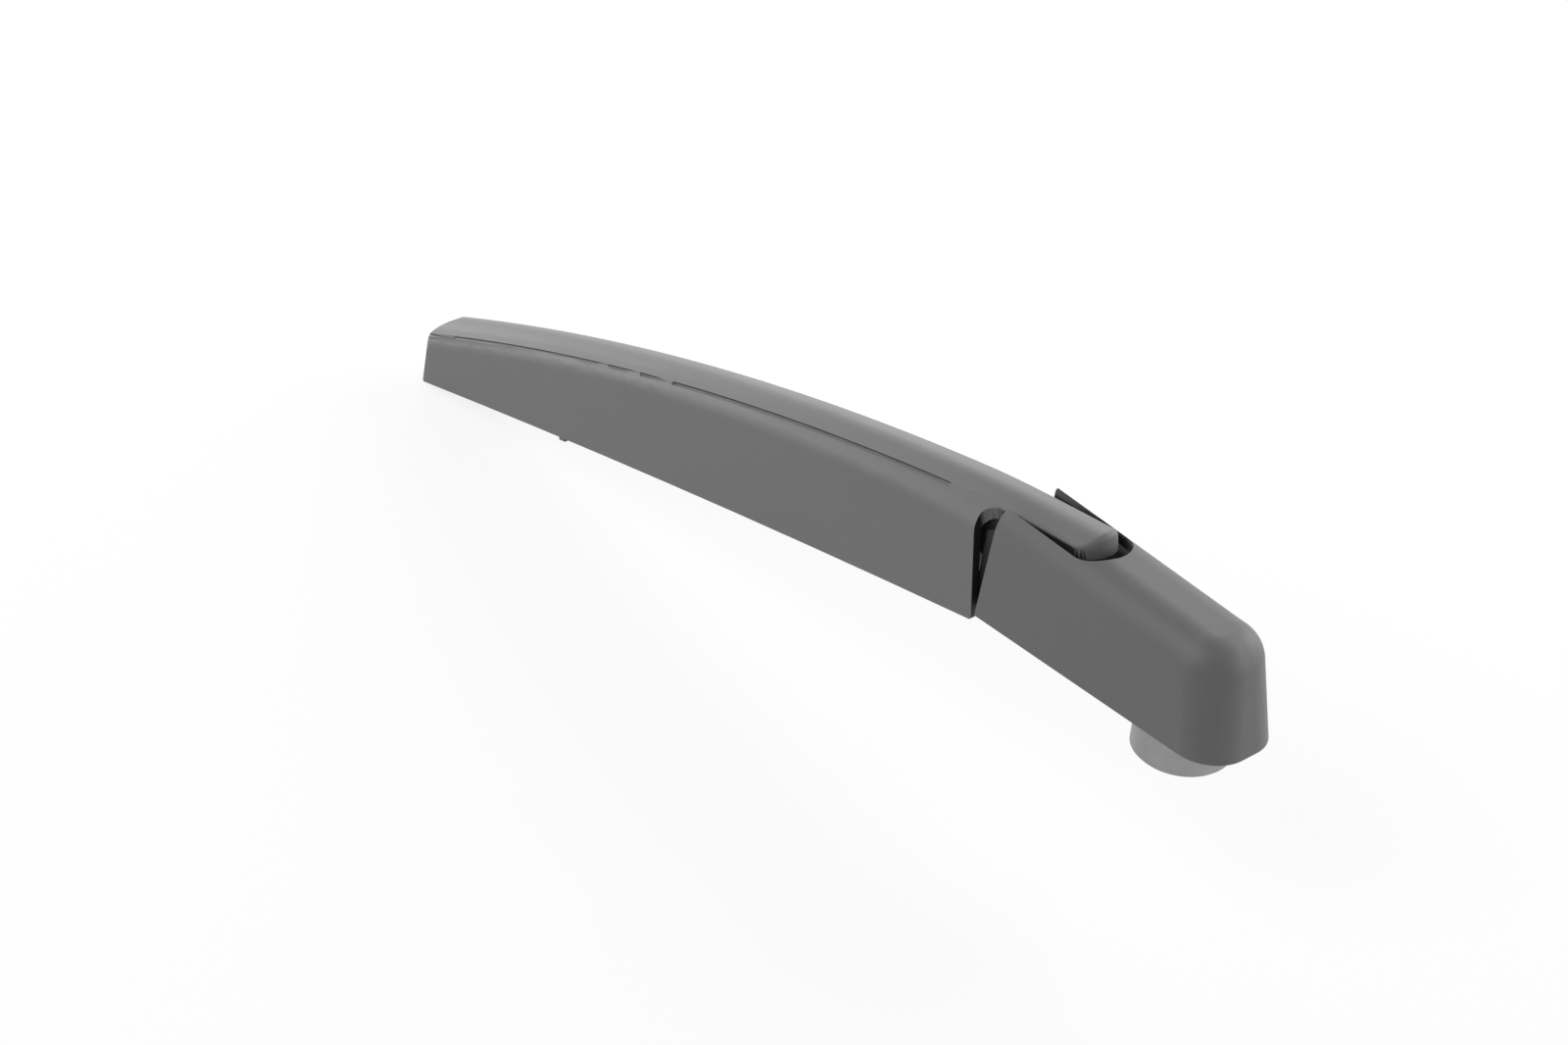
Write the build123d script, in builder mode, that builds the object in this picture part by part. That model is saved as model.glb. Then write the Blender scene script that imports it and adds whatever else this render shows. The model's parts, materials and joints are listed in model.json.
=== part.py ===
from build123d import *
import os
from math import asin, cos, degrees, radians, sin, sqrt

# All sizes are in millimetres. The origin is the centre of the hub's lower face,
# +Z runs up the spindle axis and the arm runs towards -X.

# Hub that sits on the motor spindle
boss_diameter = 23.0
boss_height = 8.6
boss_edge = 0.8
barrel_diameter = 17.6
barrel_top_z = 17.0
spindle_bore_diameter = 8.4
taper_mouth_diameter = 12.0
taper_end_diameter = 10.4
taper_depth = 8.0
serration_count = 30
serration_depth = 0.4
base_floor_z = 9.4
base_top_z = 15.6
link_slot_end = -25.0

# Hinge line across the top of the fork
hinge_x = -48.0
hinge_z = 29.0
hinge_pin_diameter = 5.0
hinge_pin_half = 8.2
pin_chamfer = 0.4
running_clearance = 0.05
side_clearance = 0.1
ear_half_gap = 2.0
ear_thickness = 1.8
ear_radius = 4.9
bush_wall = 0.8
bush_flange = 0.4
bush_flange_diameter = 9.2
ear_outer = ear_half_gap + ear_thickness
cheek_inner = ear_outer + bush_flange + side_clearance
bush_outer_diameter = hinge_pin_diameter + 2 * running_clearance + 2 * bush_wall

# Fold stop: pegs in the arm land on toes of the fork
stop_distance = 10.0
stop_peg_diameter = 3.0
stop_gap = 0.15
toe_angle = 240.0
toe_reach = 12.0

# Arm, in places along it (u) and above it (w) from the hinge line
fold_angle = 12.3
arm_wall = 2.2
crease_half = 6.0
crown_rise = 3.3
crown_depth = 4.0
back_radius = 12.0
back_step = 0.15
crease_width = 0.9
tongue_end_u = -20.5
tongue_edge = 1.4
tongue_floor_w = 1.9
tongue_floor_u = -6.5
cheek_radius = 5.9
cheek_top = ((-8.0, 2.0), (36.0, 5.5), (36.0, 6.5), (-8.0, 3.0))
arm_end_low_u = 11.9
arm_end_high_u = 11.1
arm_end_low_w = -20.25
arm_end_corner = 1.6
# Crease seen from the side: a straight tongue, a knee, then the long arch of the back
arch_start = (-26.0, 3.15)
tongue_slope = 7.0
tongue_length = 27.0
knee_radius = 300.0
knee_turn = 4.35
arch_radius = 840.0
arch_turn = 15.0
low_edge = ((-26.0, -21.05), (130.0, -18.2), (225.9, -19.15))
tip_lean = 18.0
tip_corner = 11.0
tip_round = 5.0
groove_corner = 4.0
shoulder_radius = 5.0
web_radius = 5.3
web_u = 7.0
# Side walls: a point on their foot, and how much they close in along and up the arm
wall_foot = (12.0, 12.2, -20.0)
wall_taper = 0.021
wall_draft = 0.072
rib_thickness = 1.6
rib_root = 0.4
# Cross ribs: place along the arm and lower edge; long ribs: both ends and lower edge
arm_ribs = ((30.0, 1.0), (56.0, 2.0), (112.0, -8.0), (134.0, -9.0), (188.0, -11.0), (204.0, -12.0))
long_ribs = ((112.0, 134.0, -7.0), (188.0, 216.0, -10.0))

# Pins across the arm channel
spring_pin_uw = (95.0, -6.0)
spring_pin_diameter = 4.0
spring_pin_half = 7.4
blade_pin_uw = (163.0, -11.5)
blade_pin_diameter = 5.0
blade_pin_half = 7.0
pin_boss_inner = 5.1
pin_boss_wall = 1.8
nib_length = 2.2
nib_low_w = -19.3
nib_inner = 6.9
nib_thickness = 1.7
nib_pin_gap = 0.6
nib_height = blade_pin_uw[1] - blade_pin_diameter / 2 - nib_pin_gap - nib_low_w

# Tension spring and its link
anchor_x = -38.5
anchor_z = 15.5
anchor_pin_diameter = 4.0
anchor_web_radius = 4.8
wire_diameter = 1.6
coil_diameter = 9.6
coil_pitch = 3.5
coil_turns = 11
coil_part_turn = 63.3
coil_radius = (coil_diameter - wire_diameter) / 2
loop_lead = 3.4
loop_shift = 1.8
seat_gap = 0.1
loop_offset = coil_radius - wire_diameter / 2 - spring_pin_diameter / 2 - seat_gap
link_thickness = 1.6
link_hole_diameter = 3.4
link_lip = 1.9
hook_play = 0.65
hook_side_play = 0.8
hook_wall = 2.2
hook_slack = 1.2

# Cover cap over the hub
cap_base_z = 9.0
cap_wall = 2.2
cap_left_x = -53.3
cap_left_low_x = -54.5
cap_half_width = 12.4
cap_side_draft = 4.3
cap_end_x = 18.6
cap_end_draft = 11.7
cap_corner = 10.0
cap_crown_z = 35.65
cap_crown_slope = 3.6
cap_edge_radius = 8.4
slot_half = 7.8
slot_centre_x = -32.5
ear_corner = 2.2
ear_corner_z = 37.6
# Lips that lap into the arm's channel: side outline, wall, and how far they stand inside
cap_lip = ((-50.8, 9.6), (-58.0, 9.6), (-58.0, 28.4), (-54.0, 31.0), (-50.8, 31.0))
cap_lip_foot = ((-50.8, 9.6), (-52.6, 9.6), (-52.6, 31.0), (-50.8, 31.0))
cap_lip_wall = 1.2
cap_lip_inset = 0.8
cap_pivot_radius = 4.6
cap_pivot_inner = 6.3
cap_pivot_hole = hinge_pin_diameter / 2 + running_clearance
cap_pivot_depth = hinge_pin_half + 0.3

# Working planes that follow the folded arm
fold_cos = cos(radians(fold_angle))
fold_sin = sin(radians(fold_angle))
ARM = Plane(
    origin=(hinge_x, 0, hinge_z),
    x_dir=(-fold_cos, 0, -fold_sin),
    z_dir=(-fold_sin, 0, fold_cos),
)
ARM_SIDE = Plane(origin=ARM.origin, x_dir=ARM.x_dir, z_dir=(0, 1, 0))
SIDE = Plane(origin=(0, 0, 0), x_dir=(1, 0, 0), z_dir=(0, -1, 0))

peg_angle = toe_angle - degrees(asin((stop_peg_diameter / 2 + stop_gap) / stop_distance))
peg_point = Vector(
    hinge_x + stop_distance * cos(radians(peg_angle)),
    0,
    hinge_z + stop_distance * sin(radians(peg_angle)),
)
peg_local = ARM.to_local_coords(peg_point)
peg_uw = (peg_local.X, peg_local.Z)

spring_pin_point = ARM.from_local_coords((spring_pin_uw[0], 0, spring_pin_uw[1]))
anchor_point = Vector(anchor_x, 0, anchor_z)
spring_line = anchor_point - spring_pin_point
spring_length = spring_line.length
spring_dir = spring_line.normalized()
SPRING_SIDE = Plane(origin=spring_pin_point, x_dir=spring_dir, z_dir=(0, -1, 0))

ARM_WALLS = []
for side in (-1, 1):
    ARM_WALLS.append(
        Plane(
            origin=ARM.from_local_coords((wall_foot[0], side * wall_foot[1], wall_foot[2])),
            z_dir=ARM.x_dir * wall_taper + ARM.y_dir * side + ARM.z_dir * wall_draft,
        )
    )

# Arm: side outlines of the crown, the hollow, the groove under the crown and the ribs
arm_outlines = []
for lift, drop, shorter, corner in (
    (crown_rise + 0.2, 0, 0, tip_corner + crown_rise),
    (-arm_wall, 6, arm_wall, 1.0),
    (crown_rise - arm_wall, 6, arm_wall, groove_corner),
    (crown_rise - arm_wall + rib_root, 6, arm_wall, groove_corner),
):
    first_u = arch_start[0] - lift * sin(radians(tongue_slope))
    first_w = arch_start[1] + lift * cos(radians(tongue_slope))
    with BuildSketch(ARM_SIDE.offset(-20)) as outline:
        with BuildLine():
            tongue_line = PolarLine((first_u, first_w), tongue_length, angle=tongue_slope)
            knee = JernArc(tongue_line @ 1, tongue_line % 1, knee_radius + lift, -knee_turn)
            back = JernArc(knee @ 1, knee % 1, arch_radius + lift, -arch_turn)
            low = ThreePointArc(*[(u, w - drop) for u, w in low_edge])
            Line(low @ 0, tongue_line @ 0)
            Line(low @ 1, back @ 1)
        make_face()
        with Locations((low_edge[2][0] - shorter, low_edge[2][1])):
            Rectangle(
                60, 160, rotation=tip_lean, align=(Align.MIN, Align.CENTER), mode=Mode.SUBTRACT
            )
        fillet(outline.vertices().sort_by(Axis.X)[-2], radius=corner)
    arm_outlines.append(outline.sketch)
crown_outline, hollow_outline, groove_outline, rib_outline = arm_outlines

# Arm: plan of the tip, drawn out along its leaning end
tip_dir = ARM.z_dir * cos(radians(tip_lean)) - ARM.x_dir * sin(radians(tip_lean))
tip_u = low_edge[2][0]
tip_half = wall_foot[1] - wall_taper * (tip_u - wall_foot[0])
TIP_PLAN = Plane(
    origin=ARM.from_local_coords((0, 0, low_edge[2][1])) - tip_dir * 30,
    x_dir=ARM.x_dir,
    z_dir=ARM.z_dir,
)
tip_plans = []
for inset in (0, arm_wall):
    with BuildSketch(TIP_PLAN) as tip_plan:
        Polygon(
            (-60, 20),
            (tip_u - inset, tip_half - inset),
            (tip_u - inset, inset - tip_half),
            (-60, -20),
            align=None,
        )
        fillet(tip_plan.vertices().sort_by(Axis.X)[-2:], radius=tip_round - inset)
    tip_plans.append(tip_plan.sketch)

# Arm: crowned ridge, swept along the crease and rounded where it ends as a tongue
with BuildPart() as arm_crown:
    with BuildLine(ARM_SIDE):
        tongue_line = PolarLine(arch_start, tongue_length, angle=tongue_slope)
        knee = JernArc(tongue_line @ 1, tongue_line % 1, knee_radius, -knee_turn)
        JernArc(knee @ 1, knee % 1, arch_radius, -arch_turn)
    with BuildSketch(Plane(origin=tongue_line @ 0, x_dir=(0, -1, 0), z_dir=tongue_line % 0)):
        with BuildLine():
            ThreePointArc((-crease_half, 0), (0, crown_rise), (crease_half, 0))
            Polyline(
                (crease_half, 0),
                (crease_half, -crown_depth),
                (-crease_half, -crown_depth),
                (-crease_half, 0),
            )
        make_face()
    sweep()
    extrude(crown_outline, amount=40, dir=(0, 1, 0), mode=Mode.INTERSECT)
    with BuildSketch(ARM.offset(-20)):
        with Locations((tongue_end_u + crease_half, 0)):
            Circle(crease_half)
            Rectangle(300, 2 * crease_half + 2, align=(Align.MIN, Align.CENTER))
    extrude(amount=60, mode=Mode.INTERSECT)
    tongue_rim = arm_crown.edges().filter_by(GeomType.BSPLINE).sort_by(Axis.X)[-1]
    fillet(tongue_rim, radius=tongue_edge)
    extrude(tip_plans[0], amount=90, dir=tip_dir, mode=Mode.INTERSECT)

# Arm: rounded back across the arm, and the ceiling under it, swept along the crease
back_drop = sqrt(back_radius**2 - crease_half**2) + back_step
arm_backs = []
for inset in (0, arm_wall, arm_wall / 2):
    with BuildPart() as arm_back:
        with BuildLine(ARM_SIDE):
            tongue_line = PolarLine(
                arch_start, tongue_length, angle=tongue_slope, mode=Mode.PRIVATE
            )
            knee = JernArc(tongue_line @ 1, tongue_line % 1, knee_radius, -knee_turn)
            JernArc(knee @ 1, knee % 1, arch_radius, -arch_turn)
        with BuildSketch(Plane(origin=knee @ 0, x_dir=(0, -1, 0), z_dir=knee % 0)):
            with Locations((0, -back_drop)):
                Circle(back_radius - inset)
                Rectangle(2 * back_radius + 4, 28, align=(Align.CENTER, Align.MAX))
        sweep()
    arm_backs.append(arm_back.part)

# Arm: outer form, with leaning walls, rounded shoulders, the crown and a rounded tip
with BuildPart() as arm_form:
    add(arm_backs[0])
    for wall in ARM_WALLS:
        split(bisect_by=wall, keep=Keep.BOTTOM)
    shoulders = []
    for wall_face in arm_form.faces().sort_by(Axis.Y)[0], arm_form.faces().sort_by(Axis.Y)[-1]:
        rim = wall_face.edges().filter_by(GeomType.LINE, reverse=True)
        shoulders += rim.sort_by(Axis(ARM.origin, ARM.z_dir))[-2:]
    fillet(shoulders, radius=shoulder_radius)
    extrude(crown_outline, amount=40, dir=(0, 1, 0), mode=Mode.INTERSECT)
    extrude(tip_plans[0], amount=90, dir=tip_dir, mode=Mode.INTERSECT)
    add(arm_crown.part)

# Arm: hollow of the channel, open below, and the groove under the crown
with BuildPart() as arm_hollow:
    add(arm_backs[1])
    for wall in ARM_WALLS:
        split(bisect_by=wall.offset(-arm_wall), keep=Keep.BOTTOM)
    extrude(hollow_outline, amount=40, dir=(0, 1, 0), mode=Mode.INTERSECT)
    extrude(tip_plans[1], amount=90, dir=tip_dir, mode=Mode.INTERSECT)

with BuildPart() as arm_groove:
    extrude(groove_outline, amount=40, dir=(0, 1, 0))
    with BuildSketch(ARM.offset(-60)):
        with Locations((tongue_end_u + crease_half, 0)):
            Circle(cheek_inner)
            Rectangle(300, 2 * cheek_inner, align=(Align.MIN, Align.CENTER))
    extrude(amount=120, mode=Mode.INTERSECT)

# Arm: hinge cheeks and stop pegs inside the channel
with BuildPart() as arm_fittings:
    with BuildSketch(ARM_SIDE):
        Circle(cheek_radius)
        with Locations(peg_uw):
            Circle(stop_peg_diameter / 2 + 1.2)
        Polygon(*cheek_top, align=None)
        make_hull()
    extrude(amount=crease_half, both=True)
    with BuildSketch(ARM.offset(-15)):
        Rectangle(100, 2 * cheek_inner)
    extrude(amount=30, mode=Mode.SUBTRACT)
    with BuildSketch(ARM_SIDE):
        with Locations(peg_uw):
            Circle(stop_peg_diameter / 2)
    extrude(amount=cheek_inner + 0.5, both=True)
    with BuildSketch(ARM_SIDE):
        with Locations(peg_uw):
            Circle(stop_peg_diameter)
    extrude(amount=ear_half_gap + side_clearance, both=True, mode=Mode.SUBTRACT)

# Arm: cross ribs and pin bosses, rooted in the walls and the ceiling
with BuildPart() as arm_ribbing:
    with BuildSketch(ARM_SIDE):
        with Locations(spring_pin_uw):
            Circle(spring_pin_diameter / 2 + pin_boss_wall)
        with Locations(blade_pin_uw):
            Circle(blade_pin_diameter / 2 + pin_boss_wall)
    extrude(amount=12, both=True)
    with BuildSketch(ARM_SIDE):
        with Locations(spring_pin_uw, blade_pin_uw):
            Circle(8)
    extrude(amount=pin_boss_inner, both=True, mode=Mode.SUBTRACT)
    with BuildSketch(ARM_SIDE):
        for rib_u, rib_w in arm_ribs:
            with Locations((rib_u, rib_w)):
                Rectangle(rib_thickness, 30, align=(Align.CENTER, Align.MIN))
    extrude(amount=12, both=True)
    add(arm_backs[2], mode=Mode.INTERSECT)
    for wall in ARM_WALLS:
        split(bisect_by=wall.offset(-arm_wall / 2), keep=Keep.BOTTOM)

# Arm: the ribs' upper parts in the groove, and the long ribs between them
with BuildPart() as arm_rib_tops:
    with BuildSketch(ARM_SIDE):
        for rib_u, rib_w in arm_ribs:
            with Locations((rib_u, rib_w)):
                Rectangle(rib_thickness, 30, align=(Align.CENTER, Align.MIN))
    extrude(amount=cheek_inner + 0.5, both=True)
    with BuildSketch(ARM_SIDE):
        for first_u, last_u, rib_w in long_ribs:
            with Locations((first_u, rib_w)):
                Rectangle(last_u - first_u, 30, align=(Align.MIN, Align.MIN))
    extrude(amount=rib_thickness / 2, both=True)
    extrude(rib_outline, amount=40, dir=(0, 1, 0), mode=Mode.INTERSECT)

# Arm: where the side walls stop, short of the hinge
with BuildPart() as arm_end_cut:
    with BuildSketch(ARM_SIDE):
        with BuildLine():
            FilletPolyline(
                (60, -30),
                (60, arm_end_low_w),
                (arm_end_low_u, arm_end_low_w),
                (arm_end_high_u, 30),
                radius=arm_end_corner,
            )
            Polyline((arm_end_high_u, 30), (-60, 30), (-60, -30), (60, -30))
        make_face()
    extrude(amount=30, both=True)
    with BuildSketch(ARM):
        with Locations((web_u, 0)):
            Rectangle(20, 2 * (crease_half + web_radius), align=(Align.MIN, Align.CENTER))
        with Locations((web_u, crease_half + web_radius), (web_u, -crease_half - web_radius)):
            Circle(web_radius, mode=Mode.SUBTRACT)
    extrude(amount=30, mode=Mode.SUBTRACT)

# Arm: fine groove along each crease of the back
with BuildPart() as arm_creases:
    with BuildLine(ARM_SIDE):
        tongue_line = PolarLine(arch_start, tongue_length, angle=tongue_slope, mode=Mode.PRIVATE)
        knee = JernArc(
            tongue_line @ 1, tongue_line % 1, knee_radius, -knee_turn, mode=Mode.PRIVATE
        )
        back = JernArc(knee @ 1, knee % 1, arch_radius, -arch_turn)
    with BuildSketch(Plane(origin=back @ 0, x_dir=(0, -1, 0), z_dir=back % 0)):
        with Locations((crease_half, 0), (-crease_half, 0)):
            Circle(crease_width / 2)
    sweep()

with BuildPart() as arm_shell:
    add(arm_form.part)
    add(arm_hollow.part, mode=Mode.SUBTRACT)
    add(arm_end_cut.part, mode=Mode.SUBTRACT)
    add(arm_crown.part)
    add(arm_groove.part, mode=Mode.SUBTRACT)
    with BuildSketch(ARM_SIDE):
        with Locations((tongue_floor_u, tongue_floor_w)):
            Rectangle(30, 12, align=(Align.MAX, Align.MAX))
    extrude(amount=crease_half + 1, both=True, mode=Mode.SUBTRACT)
    add(arm_creases.part, mode=Mode.SUBTRACT)
    add(arm_fittings.part)
    add(arm_ribbing.part)
    add(arm_rib_tops.part)
    with BuildSketch(ARM_SIDE):
        Circle(hinge_pin_diameter / 2)
    extrude(amount=crease_half + 1, both=True, mode=Mode.SUBTRACT)
    with BuildSketch(ARM_SIDE):
        with Locations(spring_pin_uw):
            Circle(spring_pin_diameter / 2)
    extrude(amount=spring_pin_half, both=True, mode=Mode.SUBTRACT)
    with BuildSketch(ARM_SIDE):
        with Locations(blade_pin_uw):
            Circle(blade_pin_diameter / 2)
    extrude(amount=blade_pin_half, both=True, mode=Mode.SUBTRACT)
    for side in (-1, 1):
        with BuildSketch(ARM_SIDE.offset(side * nib_inner)):
            with Locations((blade_pin_uw[0], nib_low_w)):
                Rectangle(nib_length, nib_height, align=(Align.CENTER, Align.MIN))
        extrude(amount=side * nib_thickness)
arm_shell.part.label = "arm_shell"

# Pins moulded into the arm
with BuildPart() as hinge_pin:
    with BuildSketch(ARM_SIDE):
        Circle(hinge_pin_diameter / 2)
    extrude(amount=hinge_pin_half, both=True)
    chamfer(hinge_pin.edges(), length=pin_chamfer)
hinge_pin.part.label = "hinge_pin"

with BuildPart() as arm_spring_pin:
    with BuildSketch(ARM_SIDE):
        with Locations(spring_pin_uw):
            Circle(spring_pin_diameter / 2)
    extrude(amount=spring_pin_half, both=True)
arm_spring_pin.part.label = "arm_spring_pin"

with BuildPart() as blade_pin:
    with BuildSketch(ARM_SIDE):
        with Locations(blade_pin_uw):
            Circle(blade_pin_diameter / 2)
    extrude(amount=blade_pin_half, both=True)
blade_pin.part.label = "blade_pin"

# Hub: boss, barrel, slotted base and the fork that carries the hinge
with BuildPart() as hub_bracket:
    with BuildSketch(Plane.XY):
        Circle(boss_diameter / 2)
    extrude(amount=boss_height)
    chamfer(hub_bracket.edges().group_by(Axis.Z)[0], length=boss_edge)
    with BuildSketch(Plane.XY.offset(boss_height)):
        Circle(barrel_diameter / 2)
    extrude(amount=barrel_top_z - boss_height)
    with BuildSketch(Plane.XY.offset(base_floor_z)):
        Circle(barrel_diameter / 2 - 0.8)
        with Locations((anchor_x + 3.0, 0)):
            Circle(ear_outer)
        make_hull()
    extrude(amount=base_top_z - base_floor_z)
    with BuildSketch(SIDE):
        with Locations((hinge_x, hinge_z)):
            Circle(ear_radius)
        with Locations((anchor_x, anchor_z)):
            Circle(anchor_web_radius)
        make_hull()
    extrude(amount=ear_outer, both=True)
    with BuildSketch(SIDE):
        with Locations((hinge_x, hinge_z)):
            with PolarLocations(0, 1, start_angle=toe_angle):
                Polygon((2, 0), (toe_reach, 0), (toe_reach, 2.4), (2, 4.6), align=None)
    extrude(amount=ear_outer, both=True)
    with BuildSketch(SIDE):
        with Locations((link_slot_end, base_floor_z - 6)):
            Rectangle(60, 40, align=(Align.MAX, Align.MIN))
    extrude(amount=ear_half_gap, both=True, mode=Mode.SUBTRACT)
    with BuildSketch(SIDE):
        with Locations((hinge_x, hinge_z)):
            Circle(bush_outer_diameter / 2)
    extrude(amount=ear_outer, both=True, mode=Mode.SUBTRACT)
    with BuildSketch(SIDE):
        with Locations((anchor_x, anchor_z)):
            Circle(anchor_pin_diameter / 2)
    extrude(amount=ear_outer, both=True, mode=Mode.SUBTRACT)
    with BuildSketch(Plane.XY):
        Circle(spindle_bore_diameter / 2)
    extrude(amount=barrel_top_z, mode=Mode.SUBTRACT)
    for z, diameter in ((0, taper_mouth_diameter), (taper_depth, taper_end_diameter)):
        serration = []
        for k in range(2 * serration_count):
            reach = diameter / 2 + serration_depth * (k % 2)
            turn = radians(180 * k / serration_count)
            serration.append((reach * cos(turn), reach * sin(turn)))
        with BuildSketch(Plane.XY.offset(z)):
            Polygon(serration, align=None)
    loft(ruled=True, mode=Mode.SUBTRACT)
hub_bracket.part.label = "hub_bracket"

with BuildPart() as spring_anchor_pin:
    with BuildSketch(SIDE):
        with Locations((anchor_x, anchor_z)):
            Circle(anchor_pin_diameter / 2)
    extrude(amount=ear_outer, both=True)
spring_anchor_pin.part.label = "spring_anchor_pin"

# Bushes in the two ears, their collars facing the arm's cheeks
with BuildPart() as hinge_bush_left:
    with BuildSketch(SIDE.offset(ear_half_gap)):
        with Locations((hinge_x, hinge_z)):
            Circle(bush_outer_diameter / 2)
            Circle(hinge_pin_diameter / 2 + running_clearance, mode=Mode.SUBTRACT)
    extrude(amount=ear_thickness)
    with BuildSketch(SIDE.offset(ear_outer)):
        with Locations((hinge_x, hinge_z)):
            Circle(bush_flange_diameter / 2)
            Circle(hinge_pin_diameter / 2 + running_clearance, mode=Mode.SUBTRACT)
    extrude(amount=bush_flange)
hinge_bush_left.part.label = "hinge_bush_left"

with BuildPart() as hinge_bush_right:
    add(hinge_bush_left.part)
    mirror(about=Plane.XZ, mode=Mode.REPLACE)
hinge_bush_right.part.label = "hinge_bush_right"

# Tension spring: one wire with an upright loop on the arm's pin, a coil, and a flat far loop,
# drawn as short straight runs of eight-sided wire so that the long coil stays light
coil_start = loop_offset + loop_lead
coil_sweep = 360 * coil_turns + coil_part_turn
coil_length = coil_pitch * coil_sweep / 360
coil_end = coil_start + coil_length
far_loop_s = coil_end + loop_lead
wire_points = []
for turn in range(290, 89, -25):
    reach = radians(turn)
    wire_points.append(
        (loop_offset + coil_radius * cos(reach), coil_radius * sin(reach), -loop_shift)
    )
wire_points.append((coil_start - 0.9 * loop_shift, coil_radius, -0.96 * loop_shift))
wire_points.append((coil_start - 0.25 * loop_shift, coil_radius, -0.58 * loop_shift))
coil_steps = round(coil_sweep / 30)
for step in range(coil_steps + 1):
    share = step / coil_steps
    reach = radians(coil_sweep * share)
    wire_points.append(
        (coil_start + coil_length * share, coil_radius * cos(reach), coil_radius * sin(reach))
    )
wire_points.append((coil_end + 0.25 * loop_shift, 0.42 * loop_shift, 0.975 * coil_radius))
wire_points.append((coil_end + 0.9 * loop_shift, 0.04 * loop_shift, coil_radius))
for turn in range(90, -141, -23):
    reach = radians(turn)
    wire_points.append((far_loop_s + coil_radius * cos(reach), 0, coil_radius * sin(reach)))
with BuildPart() as tension_spring:
    with BuildLine():
        wire_path = Polyline([SPRING_SIDE.from_local_coords(point) for point in wire_points])
    with BuildSketch(Plane(origin=wire_path @ 0, z_dir=wire_path % 0)):
        RegularPolygon(wire_diameter / 2, 8)
    sweep(path=wire_path, transition=Transition.RIGHT)
tension_spring.part.label = "tension_spring"

# Flat link from the spring's far loop to the anchor pin, ending in an open hook
loop_reach = far_loop_s + coil_radius
link_hole_s = loop_reach - wire_diameter / 2 - seat_gap + link_hole_diameter / 2
link_end_radius = link_hole_diameter / 2 + link_lip
hook_radius = anchor_pin_diameter / 2 + hook_side_play
hook_s = spring_length + anchor_pin_diameter / 2 + hook_play - hook_radius
with BuildPart() as spring_link:
    with BuildSketch(SPRING_SIDE):
        with Locations((link_hole_s, 0), (hook_s - hook_slack, 0)):
            Circle(link_end_radius)
        make_hull()
    extrude(amount=link_thickness / 2, both=True)
    with BuildSketch(SPRING_SIDE):
        with Locations((hook_s, 0), (hook_s - hook_slack, 0)):
            Circle(hook_radius + hook_wall)
        make_hull()
    extrude(amount=link_thickness / 2, both=True)
    with BuildSketch(SPRING_SIDE):
        with Locations((hook_s, 0), (hook_s - hook_slack, 0)):
            Circle(hook_radius)
        make_hull()
        with Locations((hook_s + hook_radius, 0)):
            Rectangle(2 * hook_radius + hook_slack, 12, align=(Align.MAX, Align.MAX))
        with Locations((link_hole_s, 0)):
            Circle(link_hole_diameter / 2)
    extrude(amount=link_thickness, both=True, mode=Mode.SUBTRACT)
spring_link.part.label = "spring_link"

# Cover cap: drafted walls under a sloping crown, with broad rounded corners and edges
CAP_PLANES = [
    Plane(
        origin=(cap_end_x, 0, cap_base_z),
        z_dir=(cos(radians(cap_end_draft)), 0, sin(radians(cap_end_draft))),
    ),
    Plane(
        origin=(0, 0, cap_crown_z),
        z_dir=(sin(radians(cap_crown_slope)), 0, cos(radians(cap_crown_slope))),
    ),
]
for side in (-1, 1):
    CAP_PLANES.append(
        Plane(
            origin=(0, side * cap_half_width, cap_base_z),
            z_dir=(0, side * cos(radians(cap_side_draft)), sin(radians(cap_side_draft))),
        )
    )

with BuildPart() as cap_form:
    with BuildSketch(Plane.XY.offset(cap_base_z)):
        with Locations((cap_left_x - 15, 0)):
            Rectangle(100, 40, align=(Align.MIN, Align.CENTER))
    extrude(amount=40)
    for plane in CAP_PLANES:
        split(bisect_by=plane, keep=Keep.BOTTOM)
    corners = cap_form.faces().sort_by(Axis.X)[-1].edges().sort_by(Axis.Y)
    fillet([corners[0], corners[-1]], radius=cap_corner)
    fillet(cap_form.faces().sort_by(Axis.Z)[-1].edges(), radius=cap_edge_radius)

with BuildPart() as cap_hollow:
    with BuildSketch(Plane.XY.offset(cap_base_z - 4)):
        with Locations((cap_left_x - 15, 0)):
            Rectangle(100, 40, align=(Align.MIN, Align.CENTER))
    extrude(amount=44)
    for plane in CAP_PLANES:
        split(bisect_by=plane.offset(-cap_wall), keep=Keep.BOTTOM)
    corners = cap_hollow.faces().sort_by(Axis.X)[-1].edges().sort_by(Axis.Y)
    fillet([corners[0], corners[-1]], radius=cap_corner - cap_wall)
    fillet(cap_hollow.faces().sort_by(Axis.Z)[-1].edges(), radius=cap_edge_radius - cap_wall)

# Cap: thin lips at its open end, which lap into the arm's channel behind the gap
lip_layers = []
for outline, inset in (
    (cap_lip, cap_wall + cap_lip_inset),
    (cap_lip_foot, cap_wall / 2),
    (((-40, 0), (-70, 0), (-70, 50), (-40, 50)), cap_wall + cap_lip_inset + cap_lip_wall),
):
    with BuildPart() as lip_layer:
        with BuildSketch(SIDE):
            Polygon(*outline, align=None)
        extrude(amount=20, both=True)
        for plane in CAP_PLANES[2:]:
            split(bisect_by=plane.offset(-inset), keep=Keep.BOTTOM)
    lip_layers.append(lip_layer.part)

with BuildPart() as cap_lips:
    add(lip_layers[0])
    add(lip_layers[1])
    add(lip_layers[2], mode=Mode.SUBTRACT)

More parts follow.
